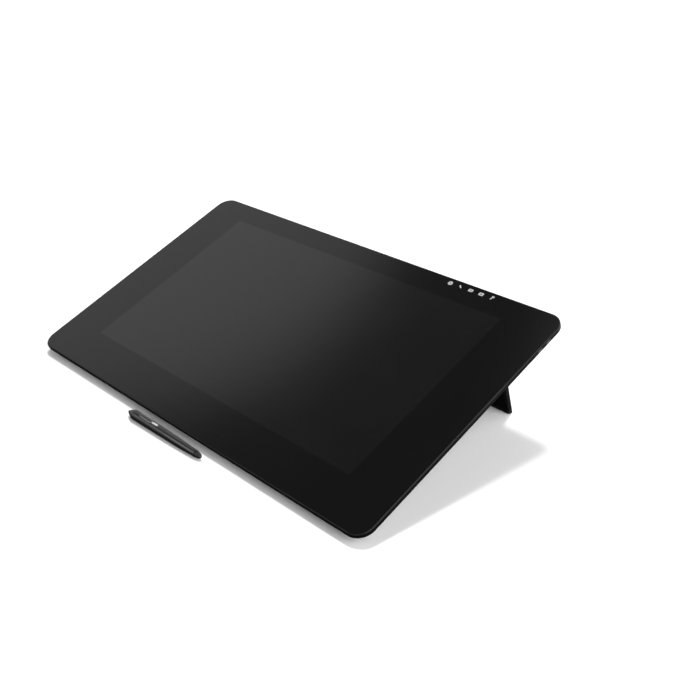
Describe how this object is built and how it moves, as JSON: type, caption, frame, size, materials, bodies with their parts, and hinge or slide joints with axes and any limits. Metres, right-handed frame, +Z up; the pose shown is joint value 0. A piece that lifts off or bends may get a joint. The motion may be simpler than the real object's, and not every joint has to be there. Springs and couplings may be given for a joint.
{
  "type": "pen drawing tablet",
  "caption": "Large pen display on fold-out legs: flat black glass with a wide border, thin rim, cooled rear housing with a socket bay, and a drawing pen.",
  "frame": {"origin": "middle of the front rubber strip's contact face, on the table", "axes": "+X along the front edge to the user's right, +Y away from the user, +Z up"},
  "size_m": [0.677, 0.3917, 0.1568],
  "materials": {
    "etched_glass": "fine matt etch over a black screen",
    "rim_metal": "satin black paint",
    "black_print": "matt ink",
    "key_print": "light grey print",
    "board": "solder mask",
    "panel": "switched-off screen",
    "clear_acrylic": "polished",
    "led_strip": "white",
    "sheet_metal": "mill finish",
    "foam": "closed-cell foam",
    "shield_foil": "rolled foil",
    "cast_metal": "as cast",
    "flex_film": "satin film",
    "chip_plastic": "moulded",
    "heat_metal": "extruded",
    "copper": "drawn copper",
    "fan_plastic": "moulded",
    "socket_metal": "plated steel",
    "button_plastic": "satin",
    "back_plastic": "fine moulded grain",
    "insert_brass": "turned",
    "screw_steel": "black zinc",
    "foot_rubber": "matt",
    "bracket_steel": "pressed",
    "pin_steel": "ground",
    "leg_metal": "satin black paint",
    "pen_plastic": "satin",
    "pen_rubber": "soft satin",
    "nib_plastic": "matt",
    "switch_plastic": "semi-gloss",
    "accent_metal": "satin bright",
    "cap_plastic": "satin",
    "eraser_plastic": "satin"
  },
  "bodies": {
    "tablet": {"cover_glass": "etched_glass", "rim_frame": "rim_metal", "border_mask": "black_print", "key_marks": "key_print", "touch_key_board": "board", "lcd_panel": "panel", "light_guide": "clear_acrylic", "led_bar": "led_strip", "backlight_tray": "sheet_metal", "panel_gasket": "foam", "digitizer_board": "board", "shield_sheet": "shield_foil", "chassis_plate": "cast_metal", "ribbon_cables": "flex_film", "main_board": "board", "board_chips": "chip_plastic", "heat_sink": "heat_metal", "heat_pipe": "copper", "fan_housing_left": "fan_plastic", "fan_housing_right": "fan_plastic", "port_board": "board", "video_sockets": "socket_metal", "power_inlet": "chip_plastic", "side_board_left": "board", "side_board_right": "board", "usb_sockets": "socket_metal", "headphone_jack": "chip_plastic", "power_switch": "socket_metal", "back_cover": "back_plastic", "leg_well_left": "back_plastic", "leg_well_right": "back_plastic", "socket_tub": "back_plastic", "vesa_inserts": "insert_brass", "cover_screws": "screw_steel", "bracket_screws": "screw_steel", "front_strip": "foot_rubber", "rear_feet": "foot_rubber", "leg_bracket_left": "bracket_steel", "leg_bracket_right": "bracket_steel", "leg_pin_left": "pin_steel", "leg_pin_right": "pin_steel"},
    "fan_left": {"fan_rotor_left": "fan_plastic"},
    "fan_right": {"fan_rotor_right": "fan_plastic"},
    "power_button": {"power_button": "button_plastic"},
    "cable_cover": {"cable_cover": "back_plastic"},
    "leg_left": {"leg_left": "leg_metal", "leg_shoe_left": "foot_rubber"},
    "leg_right": {"leg_right": "leg_metal", "leg_shoe_right": "foot_rubber"},
    "pen": {"pen_barrel": "pen_plastic", "pen_grip": "pen_rubber", "pen_cone": "pen_plastic", "pen_sensor": "socket_metal", "pen_coil": "copper", "pen_board": "board", "pen_accent": "accent_metal", "pen_cap": "cap_plastic"},
    "pen_nib": {"pen_nib": "nib_plastic"},
    "pen_switch": {"pen_switch": "switch_plastic"},
    "pen_eraser": {"pen_eraser": "eraser_plastic"}
  },
  "joints": [
    {"name": "left_leg_fold", "type": "hinge", "parent": "tablet", "child": "leg_left", "pos_m": [-0.245, 0.2762, 0.11367], "axis": [-1, 0, 0], "range_deg": [0, 86.7]},
    {"name": "right_leg_fold", "type": "hinge", "parent": "tablet", "child": "leg_right", "pos_m": [0.245, 0.2762, 0.11367], "axis": [-1, 0, 0], "range_deg": [0, 86.7]},
    {"name": "left_fan_spin", "type": "hinge", "parent": "tablet", "child": "fan_left", "pos_m": [-0.162, 0.16385, 0.07201], "axis": [0, -0.3633, 0.9317], "continuous": true},
    {"name": "right_fan_spin", "type": "hinge", "parent": "tablet", "child": "fan_right", "pos_m": [0.162, 0.16385, 0.07201], "axis": [0, -0.3633, 0.9317], "continuous": true},
    {"name": "power_button_press", "type": "slide", "parent": "tablet", "child": "power_button", "axis": [0, -0.9317, -0.3633], "range_m": [0, 0.0007], "stiffness_N_per_m": 1500, "springref_m": -0.0005},
    {"name": "cable_cover_slide", "type": "slide", "parent": "tablet", "child": "cable_cover", "axis": [0, 0.9317, 0.3633], "range_m": [0, 0.08]},
    {"name": "pen_lift", "type": "slide", "parent": "tablet", "child": "pen", "axis": [0, 0, 1], "range_m": [0, 0.12]},
    {"name": "pen_nib_press", "type": "slide", "parent": "pen", "child": "pen_nib", "axis": [0.9999, 0.0122, -0.0113], "range_m": [0, 0.0004], "stiffness_N_per_m": 800, "springref_m": -0.0004},
    {"name": "pen_switch_rock", "type": "hinge", "parent": "pen", "child": "pen_switch", "pos_m": [-0.04045, -0.0554, 0.01131], "axis": [-0.0114, 0.9975, 0.0698], "range_deg": [-1.5, 1.5], "stiffness_Nm_per_rad": 0.5},
    {"name": "pen_eraser_press", "type": "slide", "parent": "pen", "child": "pen_eraser", "axis": [-0.9999, -0.0122, 0.0113], "range_m": [0, 0.0008], "stiffness_N_per_m": 600, "springref_m": -0.0005}
  ]
}
